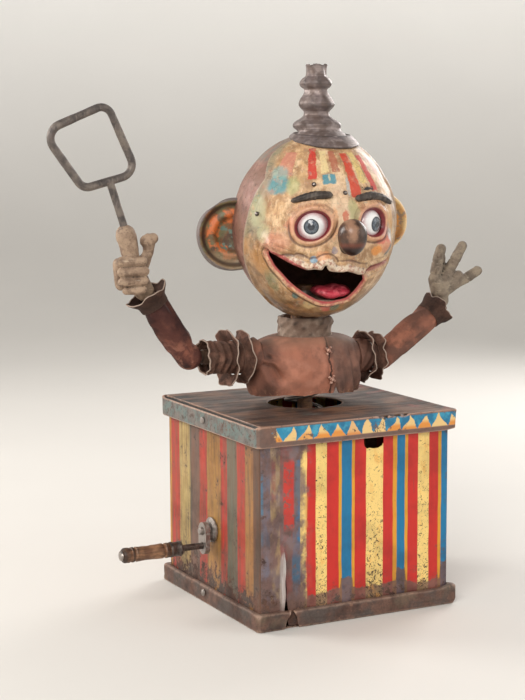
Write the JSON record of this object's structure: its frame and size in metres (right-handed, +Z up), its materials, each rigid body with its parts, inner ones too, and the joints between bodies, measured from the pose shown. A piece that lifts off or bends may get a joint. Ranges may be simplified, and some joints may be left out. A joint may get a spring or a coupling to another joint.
{
  "type": "jack in the box",
  "caption": "Square tin toy box with a side crank and music movement; a clown bust with raised arms and a looped wand stands on a coil spring through the lid.",
  "frame": {"origin": "centre of the base pan's underside, on the surface that the box stands on", "axes": "+Z up; -Y is the front of the box; -X is the wall with the crank, which is also the figure's own right"},
  "size_m": [0.3215, 0.1643, 0.357],
  "materials": {
    "rusted_tin": "rusty brown tinplate, dull, with lighter rubbed edges",
    "striped_tin": "lithographed circus stripes in red, cream, yellow and blue, chipped and rusted through",
    "bare_tin": "bare dull tin",
    "steel": "old tarnished steel",
    "brass": "tarnished brass",
    "wood": "old worn turned wood",
    "grey_metal": "dull grey spun metal with soft glints",
    "wand_metal": "dark scuffed metal bar",
    "face_paint": "cream and ochre face paint with red stripes and blue, orange and green patches, crazed and worn",
    "skull_paint": "dusty rose-brown paint",
    "ear_paint": "orange and green-grey paint, dark at the rim",
    "eye_glass": "white glossy eye with a grey-blue iris",
    "brow_paint": "dark brown raised brow",
    "nose_paint": "polished brown turned nose",
    "tongue_paint": "pink-red tongue, worn satin",
    "tunic": "reddish brown painted cloth stiffened over a carved form",
    "sleeve_cloth": "dark brown stiff cloth with frayed edges",
    "hand_paint": "carved hands in worn tan-grey paint"
  },
  "bodies": {
    "case": {"base_pan": "rusted_tin", "box_body": "striped_tin", "cap": "rusted_tin", "cap_rivet_left": "steel", "cap_rivet_right": "steel", "base_rivet_left": "steel", "base_rivet_right": "steel", "crank_bush": "steel", "movement_frame": "steel", "comb_bridge": "brass", "comb": "steel", "spring_seat": "steel", "guide_tube": "brass", "jack_spring": "steel"},
    "crank": {"crankshaft": "steel", "crank_arm": "steel", "handle_pin": "steel", "pinion": "brass"},
    "grip": {"crank_grip": "wood", "grip_ferrule": "steel"},
    "drum": {"drum_shaft": "steel", "drum_gear": "brass", "music_drum": "brass"},
    "figure": {"stem": "wood", "stop_pin": "steel", "body_block": "wood", "torso_shell": "tunic", "button_upper": "brass", "button_lower": "brass", "neck_collar": "tunic", "neck_post": "wood", "neck_nut": "steel"},
    "head": {"head_plate": "bare_tin", "face_mask": "face_paint", "skull_shell": "skull_paint", "hat": "grey_metal", "nose": "nose_paint", "ear_right": "ear_paint", "ear_left": "ear_paint", "eye_right": "eye_glass", "eye_left": "eye_glass", "brow_right": "brow_paint", "brow_left": "brow_paint", "tongue": "tongue_paint"},
    "upper_arm_right": {"upper_arm_right": "wood", "sleeve_right": "sleeve_cloth", "ruffle_right": "sleeve_cloth"},
    "forearm_right": {"forearm_right": "tunic", "cuff_right": "sleeve_cloth", "elbow_pin_right": "steel"},
    "hand_right": {"hand_right": "hand_paint", "wand": "wand_metal"},
    "upper_arm_left": {"upper_arm_left": "wood", "sleeve_left": "sleeve_cloth", "ruffle_left": "sleeve_cloth"},
    "forearm_left": {"forearm_left": "tunic", "cuff_left": "sleeve_cloth", "elbow_pin_left": "steel"},
    "hand_left": {"hand_left": "hand_paint"}
  },
  "joints": [
    {"name": "crank_turn", "type": "hinge", "parent": "case", "child": "crank", "pos_m": [-0.07, 0, 0.051], "axis": [1, 0, 0], "continuous": true},
    {"name": "grip_spin", "type": "hinge", "parent": "crank", "child": "grip", "pos_m": [-0.114, 0, 0.041], "axis": [1, 0, 0], "continuous": true},
    {"name": "drum_spin", "type": "hinge", "parent": "case", "child": "drum", "pos_m": [-0.04, 0, 0.027], "axis": [1, 0, 0], "continuous": true},
    {"name": "figure_bob", "type": "slide", "parent": "case", "child": "figure", "axis": [0, 0, 1], "range_m": [-0.006, 0.01], "stiffness_N_per_m": 1500, "springref_m": 0.00478, "deforming": ["jack_spring"]},
    {"name": "head_turn", "type": "hinge", "parent": "figure", "child": "head", "pos_m": [0, 0, 0.201], "axis": [0, 0, 1], "range_deg": [-45, 45]},
    {"name": "shoulder_turn_right", "type": "hinge", "parent": "figure", "child": "upper_arm_right", "pos_m": [-0.048, 0, 0.165], "axis": [1, 0, 0], "range_deg": [-60, 60]},
    {"name": "elbow_bend_right", "type": "hinge", "parent": "upper_arm_right", "child": "forearm_right", "pos_m": [-0.086, 0, 0.168], "axis": [0, 1, 0], "range_deg": [-50, 10]},
    {"name": "wrist_turn_right", "type": "hinge", "parent": "forearm_right", "child": "hand_right", "pos_m": [-0.112, 0, 0.206], "axis": [-0.5647, 0, 0.8253], "range_deg": [-60, 60]},
    {"name": "shoulder_turn_left", "type": "hinge", "parent": "figure", "child": "upper_arm_left", "pos_m": [0.048, 0, 0.16], "axis": [1, 0, 0], "range_deg": [-60, 60]},
    {"name": "elbow_bend_left", "type": "hinge", "parent": "upper_arm_left", "child": "forearm_left", "pos_m": [0.06, 0, 0.158], "axis": [0, -1, 0], "range_deg": [-35, 20]},
    {"name": "wrist_turn_left", "type": "hinge", "parent": "forearm_left", "child": "hand_left", "pos_m": [0.103, 0, 0.188], "axis": [0.8201, 0, 0.5722], "range_deg": [-60, 60]}
  ],
  "couplings": [
    {"joint": "crank_turn", "follows": "drum_spin", "ratio": -3}
  ]
}
